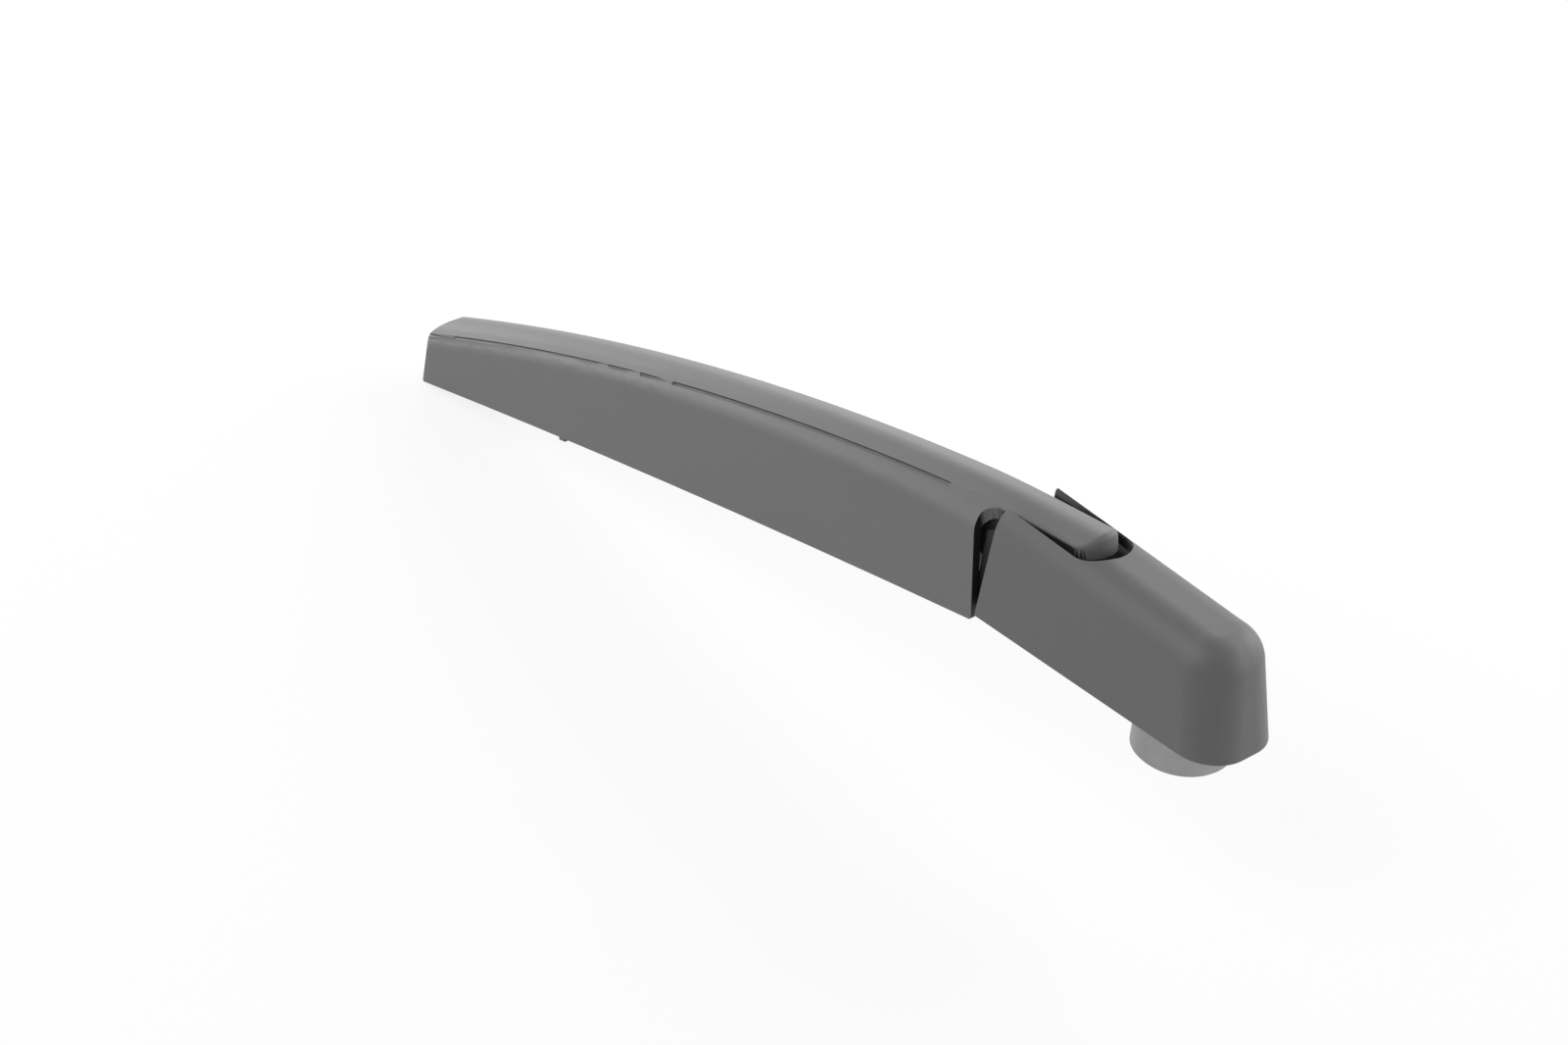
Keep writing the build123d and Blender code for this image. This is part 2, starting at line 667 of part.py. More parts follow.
with BuildPart() as cover_cap:
    add(cap_form.part)
    add(cap_hollow.part, mode=Mode.SUBTRACT)
    with BuildSketch(SIDE):
        with BuildLine():
            FilletPolyline(
                (cap_left_low_x, cap_base_z - 2),
                (cap_left_x, ear_corner_z),
                (0, ear_corner_z),
                radius=ear_corner,
            )
            Polyline(
                (0, ear_corner_z),
                (0, 60),
                (cap_left_x - 40, 60),
                (cap_left_x - 40, cap_base_z - 2),
                (cap_left_low_x, cap_base_z - 2),
            )
        make_face()
    extrude(amount=30, both=True, mode=Mode.SUBTRACT)
    add(cap_lips.part)
    with BuildSketch(SIDE):
        with Locations((hinge_x, hinge_z)):
            Circle(cap_pivot_radius)
    extrude(amount=cap_pivot_depth + 0.8, both=True)
    with BuildSketch(SIDE):
        with Locations((hinge_x, hinge_z)):
            Circle(cap_pivot_radius + 1)
    extrude(amount=cap_pivot_inner, both=True, mode=Mode.SUBTRACT)
    with BuildSketch(SIDE):
        with Locations((hinge_x, hinge_z)):
            Circle(cap_pivot_hole)
    extrude(amount=cap_pivot_depth, both=True, mode=Mode.SUBTRACT)
    with BuildSketch(Plane.XY.offset(hinge_z + 4)):
        with Locations((slot_centre_x, 0)):
            Circle(slot_half)
            Rectangle(60, 2 * slot_half, align=(Align.MAX, Align.CENTER))
    extrude(amount=30, mode=Mode.SUBTRACT)
cover_cap.part.label = "cover_cap"

os.makedirs("parts", exist_ok=True)
export_step(hub_bracket.part, "parts/hub_bracket.step")
export_step(hinge_pin.part, "parts/hinge_pin.step")
export_step(hinge_bush_left.part, "parts/hinge_bush_left.step")
export_step(hinge_bush_right.part, "parts/hinge_bush_right.step")
export_step(arm_shell.part, "parts/arm_shell.step")
export_step(arm_spring_pin.part, "parts/arm_spring_pin.step")
export_step(blade_pin.part, "parts/blade_pin.step")
export_step(spring_anchor_pin.part, "parts/spring_anchor_pin.step")
export_step(tension_spring.part, "parts/tension_spring.step")
export_step(spring_link.part, "parts/spring_link.step")
export_step(cover_cap.part, "parts/cover_cap.step")
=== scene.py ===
# %% [markdown]
# # A rear wiper arm, dressed in Blender
# The solids of the arm come in as a frame that stays as it is: an arched plastic channel, a cap
# over the hub, and the metal parts of the sprung hinge. This lesson gives each of them its finish,
# rounds the edges of the mouldings, winds the spring from round wire, and sets the light and the
# camera of a product photograph. Lengths are in millimetres times `mm`, because Blender works in metres.

# %% Load the frame
import json
import math

import bpy
from mathutils import Matrix, Vector
from mathutils.bvhtree import BVHTree

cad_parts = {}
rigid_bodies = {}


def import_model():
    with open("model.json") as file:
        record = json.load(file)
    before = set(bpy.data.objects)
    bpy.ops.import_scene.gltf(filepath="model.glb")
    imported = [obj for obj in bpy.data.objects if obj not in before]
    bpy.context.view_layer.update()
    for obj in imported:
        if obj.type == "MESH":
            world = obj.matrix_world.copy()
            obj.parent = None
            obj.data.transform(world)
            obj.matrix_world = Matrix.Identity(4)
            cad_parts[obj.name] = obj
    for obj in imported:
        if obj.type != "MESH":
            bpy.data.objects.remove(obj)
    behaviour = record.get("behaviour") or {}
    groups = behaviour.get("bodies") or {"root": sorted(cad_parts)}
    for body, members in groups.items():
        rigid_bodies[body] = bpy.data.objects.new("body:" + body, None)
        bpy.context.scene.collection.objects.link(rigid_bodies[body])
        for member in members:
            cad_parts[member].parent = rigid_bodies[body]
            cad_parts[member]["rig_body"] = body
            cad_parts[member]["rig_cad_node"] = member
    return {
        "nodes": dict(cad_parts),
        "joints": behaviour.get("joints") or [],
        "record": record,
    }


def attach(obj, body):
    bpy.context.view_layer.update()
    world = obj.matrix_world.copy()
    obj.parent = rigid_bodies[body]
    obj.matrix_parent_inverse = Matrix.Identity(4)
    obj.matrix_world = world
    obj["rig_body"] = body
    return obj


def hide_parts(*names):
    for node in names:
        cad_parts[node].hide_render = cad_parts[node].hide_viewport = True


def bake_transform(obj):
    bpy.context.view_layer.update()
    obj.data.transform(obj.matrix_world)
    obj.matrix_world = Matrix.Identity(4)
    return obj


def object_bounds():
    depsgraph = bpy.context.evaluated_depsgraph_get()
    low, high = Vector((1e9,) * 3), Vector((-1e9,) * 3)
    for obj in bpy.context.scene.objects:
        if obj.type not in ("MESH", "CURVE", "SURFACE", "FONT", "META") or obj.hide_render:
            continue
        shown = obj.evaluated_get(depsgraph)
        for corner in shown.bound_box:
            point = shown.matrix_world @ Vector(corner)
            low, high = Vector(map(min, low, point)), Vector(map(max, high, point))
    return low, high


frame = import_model()
cad_low, cad_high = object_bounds()
scene = bpy.context.scene
scene.view_settings.view_transform = "Standard"
mm = 0.001
print("pieces in the frame:", ", ".join(sorted(frame["nodes"])))

# %% [markdown]
# ## The camera
# The photograph looks down on the arm from the hub's side, through a long lens that hardly narrows
# the far end. A camera could be aimed with a constraint, but its small roll would be lost. So the
# three directions of the picture are written as vectors, and they become the camera's matrix. Its
# place follows from where the hub is seen: so far to the right, so far down and so far ahead.

# %% Camera at the photograph's viewing angle
camera_turn = math.radians(44.33)
camera_drop = math.radians(33.19)
camera_roll = math.radians(-6.5)
hub_in_view = Vector((87.6, 49.7, 817.8)) * mm
ahead = Vector((
    -math.sin(camera_turn) * math.cos(camera_drop),
    math.cos(camera_turn) * math.cos(camera_drop),
    -math.sin(camera_drop),
))
level = Vector((math.cos(camera_turn), math.sin(camera_turn), 0))
down = -level.cross(ahead)
picture_right = math.cos(camera_roll) * level + math.sin(camera_roll) * down
picture_down = math.cos(camera_roll) * down - math.sin(camera_roll) * level
eye = -(picture_right * hub_in_view.x + picture_down * hub_in_view.y + ahead * hub_in_view.z)
bpy.ops.object.select_all(action="DESELECT")
bpy.ops.object.camera_add()
camera = bpy.context.object
camera.name = "studio_camera"
camera.data.lens = 85
camera.data.sensor_width = 36
turned = Matrix((picture_right, -picture_down, -ahead)).transposed().to_4x4()
camera.matrix_world = Matrix.Translation(eye) @ turned
camera.data.clip_start = 0.05
camera.data.clip_end = 50
scene.camera = camera
print("camera stands", round(eye.length, 3), "m from the hub")

# %% [markdown]
# ## The paper floor
# A product like this is shot on white paper. Paper lit until it is clean white would need so much
# light that the object burns out. So for the eye and in reflections the paper glows almost white by
# itself, with a share of plain diffuse that keeps the soft shadow, and for all other light it is
# plain paper. It lies just under the tip of the arm.

# %% Paper floor
def link(tree, start, end):
    """Join an output socket to an input socket."""
    tree.links.new(start, end)


def seen_directly(tree):
    """A value of 1 for rays from the eye, from a reflection or through glass."""
    path = tree.nodes.new("ShaderNodeLightPath")
    both = tree.nodes.new("ShaderNodeMath")
    both.operation = "MAXIMUM"
    all_three = tree.nodes.new("ShaderNodeMath")
    all_three.operation = "MAXIMUM"
    link(tree, path.outputs["Is Camera Ray"], both.inputs[0])
    link(tree, path.outputs["Is Glossy Ray"], both.inputs[1])
    link(tree, both.outputs[0], all_three.inputs[0])
    link(tree, path.outputs["Is Transmission Ray"], all_three.inputs[1])
    return all_three.outputs[0]


floor_size = 8
floor_gap = 0.5 * mm
floor_glow = 0.85
paper_share = 0.16
paper_grey = 0.8
bpy.ops.object.select_all(action="DESELECT")
bpy.ops.mesh.primitive_plane_add(size=floor_size, location=(0, 0, cad_low.z - floor_gap))
floor = bpy.context.object
floor.name = "paper_floor"
paper = bpy.data.materials.new("white_paper")
paper.use_nodes = True
tree = paper.node_tree
tree.nodes.clear()
plain_paper = tree.nodes.new("ShaderNodeBsdfDiffuse")
plain_paper.inputs["Color"].default_value = (paper_grey, paper_grey, paper_grey, 1)
shadow_paper = tree.nodes.new("ShaderNodeBsdfDiffuse")
shadow_paper.inputs["Color"].default_value = (paper_share, paper_share, paper_share, 1)
glow = tree.nodes.new("ShaderNodeEmission")
glow.inputs["Strength"].default_value = floor_glow
white_page = tree.nodes.new("ShaderNodeAddShader")
choose = tree.nodes.new("ShaderNodeMixShader")
out = tree.nodes.new("ShaderNodeOutputMaterial")
link(tree, shadow_paper.outputs[0], white_page.inputs[0])
link(tree, glow.outputs[0], white_page.inputs[1])
link(tree, seen_directly(tree), choose.inputs[0])
link(tree, plain_paper.outputs[0], choose.inputs[1])
link(tree, white_page.outputs[0], choose.inputs[2])
link(tree, choose.outputs[0], out.inputs["Surface"])
floor.data.materials.append(paper)
print("floor at", round(floor.location.z / mm, 1), "mm")

# %% [markdown]
# ## Sky and lamps
# The photograph has no hard shadow and no strong highlight, so the arm stands among soft boxes, as in
# a light tent. Three of them behind it brighten the ridge and the cap's far edges. One high in front
# and two on the tip's side fill in the near walls. The sky looks white to the eye and adds a little
# light from all around.

# %% White sky with little light
sky_light = 0.03
world = bpy.data.worlds.new("studio_sky")
scene.world = world
world.use_nodes = True
tree = world.node_tree
tree.nodes.clear()
dim_sky = tree.nodes.new("ShaderNodeBackground")
dim_sky.inputs["Color"].default_value = (1, 1, 1, 1)
dim_sky.inputs["Strength"].default_value = sky_light
white_sky = tree.nodes.new("ShaderNodeBackground")
white_sky.inputs["Color"].default_value = (1, 1, 1, 1)
choose = tree.nodes.new("ShaderNodeMixShader")
out = tree.nodes.new("ShaderNodeOutputWorld")
link(tree, seen_directly(tree), choose.inputs[0])
link(tree, dim_sky.outputs[0], choose.inputs[1])
link(tree, white_sky.outputs[0], choose.inputs[2])
link(tree, choose.outputs[0], out.inputs["Surface"])
print("sky gives", sky_light, "of white")

# %% Soft boxes round the arm
middle = (cad_low + cad_high) / 2


def soft_box(name, side, size, watts):
    """A square lamp at `side` from the middle of the arm, in metres, turned towards it."""
    bpy.ops.object.select_all(action="DESELECT")
    bpy.ops.object.light_add(type="AREA", location=middle + Vector(side))
    lamp = bpy.context.object
    lamp.name = name
    lamp.data.size = size
    lamp.data.energy = watts
    lamp.rotation_euler = (-Vector(side)).to_track_quat("-Z", "Y").to_euler()
    print(name, "has", watts, "W")


soft_box("soft_box_behind", side=(0.25, 0.95, 0.55), size=0.7, watts=7.3)
soft_box("soft_box_behind_left", side=(-0.80, 0.70, 0.50), size=0.6, watts=5.4)
soft_box("soft_box_behind_right", side=(0.95, 0.55, 0.30), size=0.6, watts=3.2)
soft_box("soft_box_front", side=(-0.10, -0.75, 0.80), size=0.7, watts=5.1)
soft_box("soft_box_left", side=(-0.95, -0.10, 0.15), size=0.6, watts=5.6)
soft_box("soft_box_front_left", side=(-0.75, -0.60, 0.35), size=0.6, watts=1.2)

# %% [markdown]
# ## Shared surface effects
# Two effects come back in every finish. The first is the fine grain that the mould or the die leaves
# on a surface, the second is its uneven wear and fading. Both could be built anew in each material.
# As node groups with their own inputs they are built once, and a material only says how coarse and
# how strong they are.

# %% Grain as a node group
def new_group(name, inputs, outputs):
    """An empty shader node group with named float inputs and outputs."""
    group = bpy.data.node_groups.new(name, "ShaderNodeTree")
    for socket, value in inputs:
        made = group.interface.new_socket(socket, in_out="INPUT", socket_type="NodeSocketFloat")
        made.default_value = value
    for socket in outputs:
        group.interface.new_socket(socket, in_out="OUTPUT", socket_type="NodeSocketFloat")
    start = group.nodes.new("NodeGroupInput")
    end = group.nodes.new("NodeGroupOutput")
    return group, start, end


pit_depth = 0.6
grain_group, start, end = new_group("surface_grain", [("Scale", 2500.0)], ["Height"])
place = grain_group.nodes.new("ShaderNodeTexCoord")
pits = grain_group.nodes.new("ShaderNodeTexVoronoi")
pits.feature = "SMOOTH_F1"
pits.inputs["Smoothness"].default_value = 0.6
cloud = grain_group.nodes.new("ShaderNodeTexNoise")
cloud.inputs["Detail"].default_value = 3.0
height = grain_group.nodes.new("ShaderNodeMath")
height.operation = "MULTIPLY_ADD"
height.inputs[1].default_value = pit_depth
link(grain_group, place.outputs["Object"], pits.inputs["Vector"])
link(grain_group, place.outputs["Object"], cloud.inputs["Vector"])
link(grain_group, start.outputs["Scale"], pits.inputs["Scale"])
link(grain_group, start.outputs["Scale"], cloud.inputs["Scale"])
link(grain_group, pits.outputs["Distance"], height.inputs[0])
link(grain_group, cloud.outputs["Fac"], height.inputs[2])
link(grain_group, height.outputs[0], end.inputs["Height"])
print("node group", grain_group.name, "has", len(grain_group.nodes), "nodes")

# %% Fading as a node group
middle_grey = 0.5
fade_group, start, end = new_group("surface_fading", [("Scale", 40.0), ("Contrast", 0.5)], ["Mask"])
place = fade_group.nodes.new("ShaderNodeTexCoord")
patch = fade_group.nodes.new("ShaderNodeTexNoise")
patch.inputs["Detail"].default_value = 5.0
patch.inputs["Roughness"].default_value = 0.6
centred = fade_group.nodes.new("ShaderNodeMath")
centred.operation = "SUBTRACT"
centred.inputs[1].default_value = middle_grey
gain = fade_group.nodes.new("ShaderNodeMath")
gain.operation = "MULTIPLY_ADD"
gain.inputs[2].default_value = middle_grey
gain.use_clamp = True
link(fade_group, place.outputs["Object"], patch.inputs["Vector"])
link(fade_group, start.outputs["Scale"], patch.inputs["Scale"])
link(fade_group, patch.outputs["Fac"], centred.inputs[0])
link(fade_group, centred.outputs[0], gain.inputs[0])
link(fade_group, start.outputs["Contrast"], gain.inputs[1])
link(fade_group, gain.outputs[0], end.inputs["Mask"])
print("node group", fade_group.name, "has", len(fade_group.nodes), "nodes")

# %% [markdown]
# ## One recipe for every finish
# Plastic, casting, plating and wire differ in their numbers and not in their build-up. So one recipe
# serves them all: two tones mixed by the fading mask, a roughness that follows it, and a bump from the
# grain. The two mouldings were black once and faded to grey in the sun. For them the recipe has one
# step more: an attribute of the mesh says how much of the sky a face sees, and turns black to grey.
# The black that stays in the gaps and recesses is partly plastic that never faded and partly painted
# shade.

# %% The recipe
def grey(level, tint=(1, 1, 1)):
    """A linear colour of that level with a slight tint."""
    return (level * tint[0], level * tint[1], level * tint[2], 1)


# Unfaded black plastic, which also serves as painted shade in gaps and recesses.
unfaded_black_and_painted_shade = grey(0.010)


def fade_and_paint_shade(tree, colour, fade_and_shade):
    """Black, partly unfaded plastic and partly painted shade, that turns to `colour` as the share of the
    sky goes from the first to the second of the two limits.
    """
    fade_and_shade_attribute = tree.nodes.new("ShaderNodeAttribute")
    fade_and_shade_attribute.attribute_name = "sun_fade_and_shade"
    reach = tree.nodes.new("ShaderNodeMapRange")
    reach.interpolation_type = "SMOOTHSTEP"
    reach.inputs["From Min"].default_value = fade_and_shade[0]
    reach.inputs["From Max"].default_value = fade_and_shade[1]
    faded_and_shaded = tree.nodes.new("ShaderNodeMix")
    faded_and_shaded.data_type = "RGBA"
    faded_and_shaded.inputs["A"].default_value = unfaded_black_and_painted_shade
    link(tree, fade_and_shade_attribute.outputs["Fac"], reach.inputs["Value"])
    link(tree, reach.outputs["Result"], faded_and_shaded.inputs["Factor"])
    link(tree, colour, faded_and_shaded.inputs["B"])
    return faded_and_shaded.outputs["Result"]


def make_finish(name, dark, light, rough, metallic, grain, bump, patch, contrast, fade_and_shade=None):
    """A material: grain size and bump height in millimetres, `patch` in patches of wear to the metre."""
    made = bpy.data.materials.new(name)
    made.use_nodes = True
    tree = made.node_tree
    tree.nodes.clear()
    shader = tree.nodes.new("ShaderNodeBsdfPrincipled")
    shader.inputs["Metallic"].default_value = metallic
    out = tree.nodes.new("ShaderNodeOutputMaterial")
    fading = tree.nodes.new("ShaderNodeGroup")
    fading.node_tree = fade_group
    fading.inputs["Scale"].default_value = patch
    fading.inputs["Contrast"].default_value = contrast
    skin = tree.nodes.new("ShaderNodeGroup")
    skin.node_tree = grain_group
    skin.inputs["Scale"].default_value = 1 / (grain * mm)
    tones = tree.nodes.new("ShaderNodeMix")
    tones.data_type = "RGBA"
    tones.inputs["A"].default_value = dark
    tones.inputs["B"].default_value = light
    polish = tree.nodes.new("ShaderNodeMapRange")
    polish.inputs["To Min"].default_value = rough[0]
    polish.inputs["To Max"].default_value = rough[1]
    relief = tree.nodes.new("ShaderNodeBump")
    relief.inputs["Strength"].default_value = 1.0
    relief.inputs["Distance"].default_value = bump * mm
    link(tree, fading.outputs["Mask"], tones.inputs["Factor"])
    link(tree, fading.outputs["Mask"], polish.inputs["Value"])
    colour = tones.outputs["Result"]
    # Faces that see little sky get black here: partly unfaded plastic, partly painted shade.
    if fade_and_shade:
        colour = fade_and_paint_shade(tree, colour, fade_and_shade)
    link(tree, colour, shader.inputs["Base Color"])
    link(tree, polish.outputs["Result"], shader.inputs["Roughness"])
    link(tree, skin.outputs["Height"], relief.inputs["Height"])
    link(tree, relief.outputs["Normal"], shader.inputs["Normal"])
    link(tree, shader.outputs[0], out.inputs["Surface"])
    print("finish", name, "has", len(tree.nodes), "nodes")
    return made


# %% [markdown]
# ## The finishes
# The arm and cap are plastic with a dull satin skin. The hub is die-cast zinc, the pins are plated
# steel, the spring and its link are oiled steel, and the bushes are natural acetal. The arm turns grey
# only where it sees close to half of the sky, and the cap much sooner: the end of the arm in the gap
# is black in the photograph, while the inside of the ear beyond the ridge is grey. The black that the
# limits leave in the gap and the slot is partly unfaded plastic and partly painted shade.

# %% A material for each slot of the frame
# Limits of the sky share below which the mouldings stay black: unfaded plastic and painted shade in the
# gaps.
fade_and_shade_limits = {"arm_plastic": (0.40, 0.48), "cap_plastic": (0.17, 0.30)}
satin = (0.50, 0.60)
finishes = {
    "arm_plastic": make_finish(
        "faded_arm_plastic_with_painted_shade", grey(0.150), grey(0.170), rough=satin, metallic=0,
        grain=0.30, bump=0.012, patch=45, contrast=1.4, fade_and_shade=fade_and_shade_limits["arm_plastic"],
    ),
    "cap_plastic": make_finish(
        "faded_cap_plastic_with_painted_shade", grey(0.135), grey(0.152), rough=satin, metallic=0,
        grain=0.30, bump=0.012, patch=45, contrast=1.4, fade_and_shade=fade_and_shade_limits["cap_plastic"],
    ),
    "cast_zinc": make_finish(
        "die_cast_zinc", grey(0.24), grey(0.34), rough=(0.38, 0.55), metallic=0.85,
        grain=0.45, bump=0.02, patch=120, contrast=2.0,
    ),
    "bush_plastic": make_finish(
        "natural_acetal", grey(0.72, (1, 0.98, 0.92)), grey(0.80, (1, 0.98, 0.93)),
        rough=(0.35, 0.45), metallic=0, grain=0.4, bump=0.004, patch=90, contrast=1.0,
    ),
    "pin_steel": make_finish(
        "plated_steel", grey(0.52), grey(0.62, (1, 1, 0.98)), rough=(0.24, 0.38), metallic=1,
        grain=0.2, bump=0.004, patch=300, contrast=2.0,
    ),
    "spring_steel": make_finish(
        "oiled_spring_wire", grey(0.20, (1, 1, 1.03)), grey(0.30), rough=(0.28, 0.42), metallic=1,
        grain=0.2, bump=0.004, patch=300, contrast=2.0,
    ),
}

# %% [markdown]
# ## Copies of the solids
# The solids arrive as loose triangles and stay untouched. Each one is copied, its corners are merged
# and its flat areas are joined back into single faces, so that the edges can be worked on. The spring
# isn't copied, because it is wound anew below.

# %% Merged copies
def select_only(piece):
    """Make one object the only selected and active one."""
    bpy.ops.object.select_all(action="DESELECT")
    piece.select_set(True)
    bpy.context.view_layer.objects.active = piece


def merged_copy(node):
    """A copy of a solid without the frame's marks, its corners merged and its flat areas joined."""
    select_only(frame["nodes"][node])
    bpy.ops.object.duplicate()
    piece = bpy.context.object
    piece.name = node + "_soft"
    piece.data.name = piece.name
    bpy.ops.object.parent_clear(type="CLEAR_KEEP_TRANSFORM")
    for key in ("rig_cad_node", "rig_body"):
        if key in piece:
            del piece[key]
    bpy.ops.object.mode_set(mode="EDIT")
    bpy.ops.mesh.select_all(action="SELECT")
    bpy.ops.mesh.customdata_custom_splitnormals_clear()
    bpy.ops.mesh.remove_doubles(threshold=0.002 * mm)
    bpy.ops.mesh.dissolve_limited(angle_limit=math.radians(0.2))
    bpy.ops.object.mode_set(mode="OBJECT")
    return piece


pieces = {node: merged_copy(node) for node in sorted(frame["nodes"]) if node != "tension_spring"}
print("copied", len(pieces), "solids")

# %% [markdown]
# ## Small faces round the cap's slot
# The sun has faded the cap unevenly round its slot and at its open end: the outside is grey, and the
# depth of the slot is black, partly unfaded plastic and partly painted shade. A large flat face could
# only have one shade, so that part of the cap is cut into small faces by planes.

# %% Slices through the cap
def slice_up(piece, way, first, last, step):
    """Cut the faces of a piece by planes across `way`, from `first` to `last` in millimetres."""
    select_only(piece)
    bpy.ops.object.mode_set(mode="EDIT")
    for cut in range(round((last - first) / step) + 1):
        bpy.ops.mesh.select_all(action="SELECT")
        bpy.ops.mesh.bisect(plane_co=way * (first + cut * step) * mm, plane_no=way)
    bpy.ops.object.mode_set(mode="OBJECT")
    print(piece.name, "has", len(piece.data.polygons), "faces after the cuts")


slice_up(pieces["cover_cap"], Vector((1, 0, 0)), first=-52.0, last=-24.0, step=2.0)
slice_up(pieces["cover_cap"], Vector((0, 0, 1)), first=24.0, last=37.0, step=1.0)

# %% [markdown]
# ## Softened edges
# A mould or a die never leaves a razor edge. A narrow bevel breaks every sharp edge of the copies. The
# edges could be picked by hand, but a bevel modifier finds them by their angle. It is applied at once,
# and so is the modifier that keeps the large faces evenly shaded. Each copy then stands for its solid,
# rides on the solid's body and takes the finish of its slot.

# %% Bevels and even shading
sharp_angle = math.radians(52)
bevel_steps = 2
small_edge = 0.15
edge_of = {"arm_shell": 0.25, "cover_cap": 0.30, "hub_bracket": 0.30, "spring_link": 0.2}


def soften(piece, edge):
    """Break the sharp edges by `edge` millimetres and shade the rest smooth."""
    select_only(piece)
    bevel = piece.modifiers.new("broken_edge", "BEVEL")
    bevel.width = edge * mm
    bevel.segments = bevel_steps
    bevel.limit_method = "ANGLE"
    bevel.angle_limit = sharp_angle
    bpy.ops.object.modifier_apply(modifier=bevel.name)
    bpy.ops.object.shade_smooth_by_angle(angle=sharp_angle)
    even = piece.modifiers.new("even_shading", "WEIGHTED_NORMAL")
    even.keep_sharp = True
    bpy.ops.object.modifier_apply(modifier=even.name)
    print(piece.name, "has", len(piece.data.polygons), "faces")


for node, piece in pieces.items():
    soften(piece, edge_of.get(node, small_edge))

# %% A finish and a body for each copy
slot_of = {s["node"]: s["material_slot"] for s in frame["record"]["subparts"]}
body_of = {
    node: body for body, nodes in frame["record"]["behaviour"]["bodies"].items() for node in nodes
}
for node, piece in pieces.items():
    piece.data.materials.clear()
    piece.data.materials.append(finishes[slot_of[node]])
    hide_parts(node)
    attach(piece, body_of[node])
    print(piece.name, "rides on", body_of[node])

# %% [markdown]
# ## Where the sun has reached, and painted shade
# The plastic faded only where the sky could see it. Inside the channel, under the cap and in the gaps
# it is kept black, partly as plastic that never faded and partly as painted shade. Ambient occlusion in
# the material would do it, but it can't tell the sky from the ground. So rays go from every face towards
# the sky, and the share that gets out is kept on the mesh as an attribute, which the finish reads. The
# cap's lips, inside the gap between arm and cap, are painted black as shade whatever sky they see.

# %% Rays towards the sky
sky_rings = 5
sky_spokes = 12
sky_rays = []
for ring in range(sky_rings):
    rise = (ring + 0.5) / sky_rings
    flat = math.sqrt(1 - rise * rise)
    for spoke in range(sky_spokes):
        bend = 2 * math.pi * (spoke + 0.5 * (ring % 2)) / sky_spokes
        sky_rays.append(Vector((flat * math.cos(bend), flat * math.sin(bend), rise)))
open_sky = sum(ray.z for ray in sky_rays)
print(len(sky_rays), "rays towards the sky")

# %% All the pieces as one shelter
corners = []
faces = []
for piece in pieces.values():
    first = len(corners)
    corners += [v.co.copy() for v in piece.data.vertices]
    faces += [[first + i for i in face.vertices] for face in piece.data.polygons]
shelter = BVHTree.FromPolygons(corners, faces)
print("shelter of", len(faces), "faces")

# %% Sunlight and painted shade on the mouldings
face_gap = 0.05 * mm
ray_start = 1.2 * mm
ray_reach = 80 * mm
lip_start = -50.8 * mm
lip_top = 32 * mm
lip_side = 9.3 * mm


def lip_in_painted_shade(node, place):
    """Whether a place is on the cap's lips, which close the gap between it and the arm's end; they get
    painted shade.
    """
    if node != "cover_cap":
        return False
    return place.x < lip_start and place.z < lip_top and abs(place.y) < lip_side


def sky_share(face):
    """The share of the sky that a face sees, 1 for a level face that lies open."""
    start = face.center + face.normal * face_gap
    seen = 0
    for ray in sky_rays:
        facing = face.normal.dot(ray)
        if facing > 0 and shelter.ray_cast(start + ray * ray_start, ray, ray_reach)[0] is None:
            seen += facing
    return seen / open_sky


# Faces that see little sky and the cap's lips turn black in the finish: partly unfaded plastic, partly
# painted shade in gaps and recesses.
for node in ("arm_shell", "cover_cap"):
    skin = pieces[node].data
    sun_fade_and_shade = [0 if lip_in_painted_shade(node, face.center) else sky_share(face) for face in skin.polygons]
    kept = skin.attributes.new("sun_fade_and_shade", "FLOAT", "FACE")
    kept.data.foreach_set("value", sun_fade_and_shade)
    shade_limit = fade_and_shade_limits[slot_of[node]][0]
    black_with_shade = sum(1 for share in sun_fade_and_shade if share < shade_limit)
    print(node, "has", black_with_shade, "of", len(sun_fade_and_shade), "faces still black")

# %% [markdown]
# ## The spring
# The tension spring is one round wire: a loop that stands on the arm's pin, eleven turns of open
# coil, and a loop that holds the link. A screw modifier could wind the coil, but not run on into the
# loops. So the wire is one curve with a round section, turned into a mesh, that runs between the pin
# and the link.

# %% Measures of the spring
spring_pin = Vector(next(j for j in frame["joints"] if j["name"] == "spring_swing")["pos_m"])
along = Vector(next(j for j in frame["joints"] if j["name"] == "spring_stretch")["axis"])
upright = Vector((-along.z, 0, along.x))
across = Vector((0, -1, 0))
wire = 1.6
coil = 4.0
pitch = 3.5
coil_turn = 360 * 11 + 63.3
pin_radius = 2.0
pin_play = 0.1
loop_lead = 3.4
loop_shift = 1.8
loop_middle = coil - wire / 2 - pin_radius - pin_play
coil_start = loop_middle + loop_lead
coil_length = pitch * coil_turn / 360
coil_end = coil_start + coil_length
print("coil is", round(coil_length, 1), "mm long")

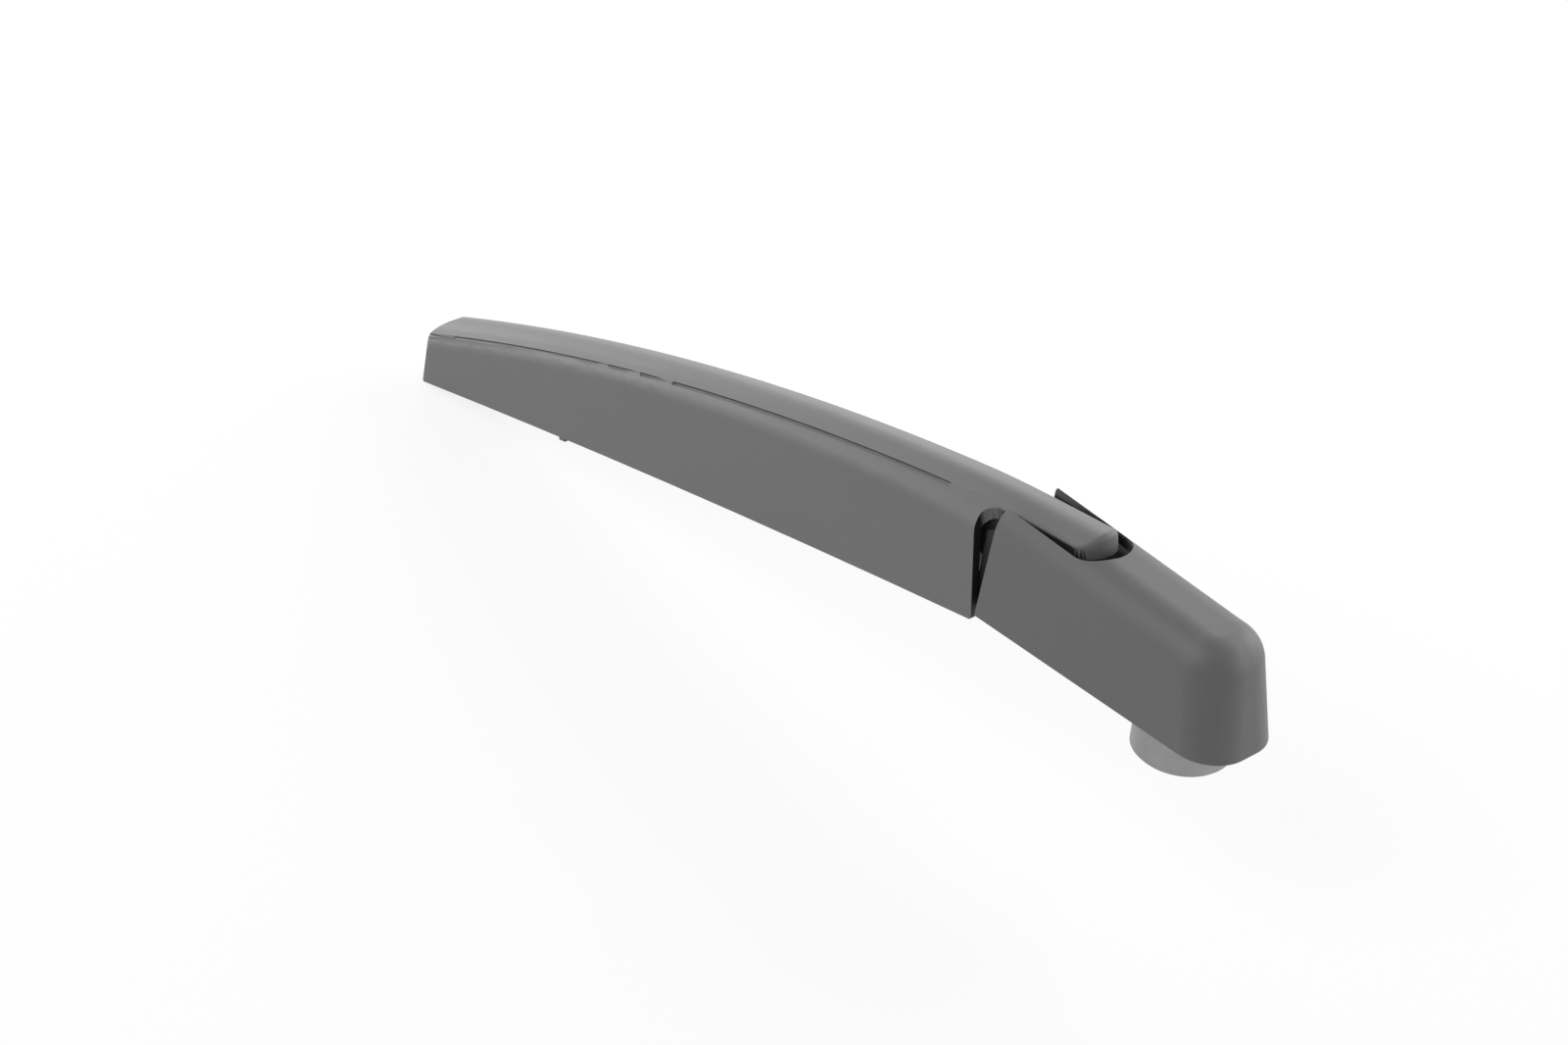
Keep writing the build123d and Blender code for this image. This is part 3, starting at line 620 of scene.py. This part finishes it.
# %% Route of the wire, from the arm's pin to the link
loop_step = 10
pin_loop_start = 290
link_loop_end = -140
coil_step = 12
near_bend = 0.25 * loop_shift
far_bend = 0.9 * loop_shift
near_side = 0.42 * loop_shift
far_side = 0.04 * loop_shift
bend_reach = 0.975 * coil


def wire_point(s, r, q):
    """A point of the wire: along the spring, upright and across it, in millimetres."""
    return spring_pin + (along * s + upright * r + across * q) * mm


route = []
for turn in range(pin_loop_start, 90 - 1, -loop_step):
    bend = math.radians(turn)
    route.append(wire_point(loop_middle + coil * math.cos(bend), coil * math.sin(bend), -loop_shift))
route.append(wire_point(coil_start - far_bend, coil, far_side - loop_shift))
route.append(wire_point(coil_start - near_bend, coil, near_side - loop_shift))
coil_steps = round(coil_turn / coil_step)
for step in range(coil_steps + 1):
    share = step / coil_steps
    bend = math.radians(coil_turn * share)
    route.append(
        wire_point(coil_start + coil_length * share, coil * math.cos(bend), coil * math.sin(bend))
    )
route.append(wire_point(coil_end + near_bend, near_side, bend_reach))
route.append(wire_point(coil_end + far_bend, far_side, coil))
for turn in range(90, link_loop_end - 1, -loop_step):
    bend = math.radians(turn)
    route.append(wire_point(coil_end + loop_lead + coil * math.cos(bend), 0, coil * math.sin(bend)))
print("route of", len(route), "points")

# %% Round wire along the route
bpy.ops.object.select_all(action="DESELECT")
bpy.ops.curve.primitive_bezier_curve_add(location=(0, 0, 0))
spring = bpy.context.object
spring.name = "spring_wire"
spring.data.splines.clear()
strand = spring.data.splines.new("POLY")
strand.points.add(len(route) - 1)
for spot, place in zip(strand.points, route):
    spot.co = (place.x, place.y, place.z, 1)
spring.data.bevel_depth = wire / 2 * mm
spring.data.bevel_resolution = 3
spring.data.use_fill_caps = True
bpy.ops.object.convert(target="MESH")
spring = bpy.context.object
bpy.ops.object.shade_smooth_by_angle(angle=math.radians(50))
spring.data.materials.clear()
spring.data.materials.append(finishes["spring_steel"])
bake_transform(spring)
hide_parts("tension_spring")
print("spring wire has", len(spring.data.polygons), "faces")

# %% [markdown]
# ## Size of the solids
# The dressed arm has to stay as large as its solids. The box of the solids is printed.

# %% Print the box of the solids
print("solids", [round(v / mm, 1) for v in cad_high - cad_low])
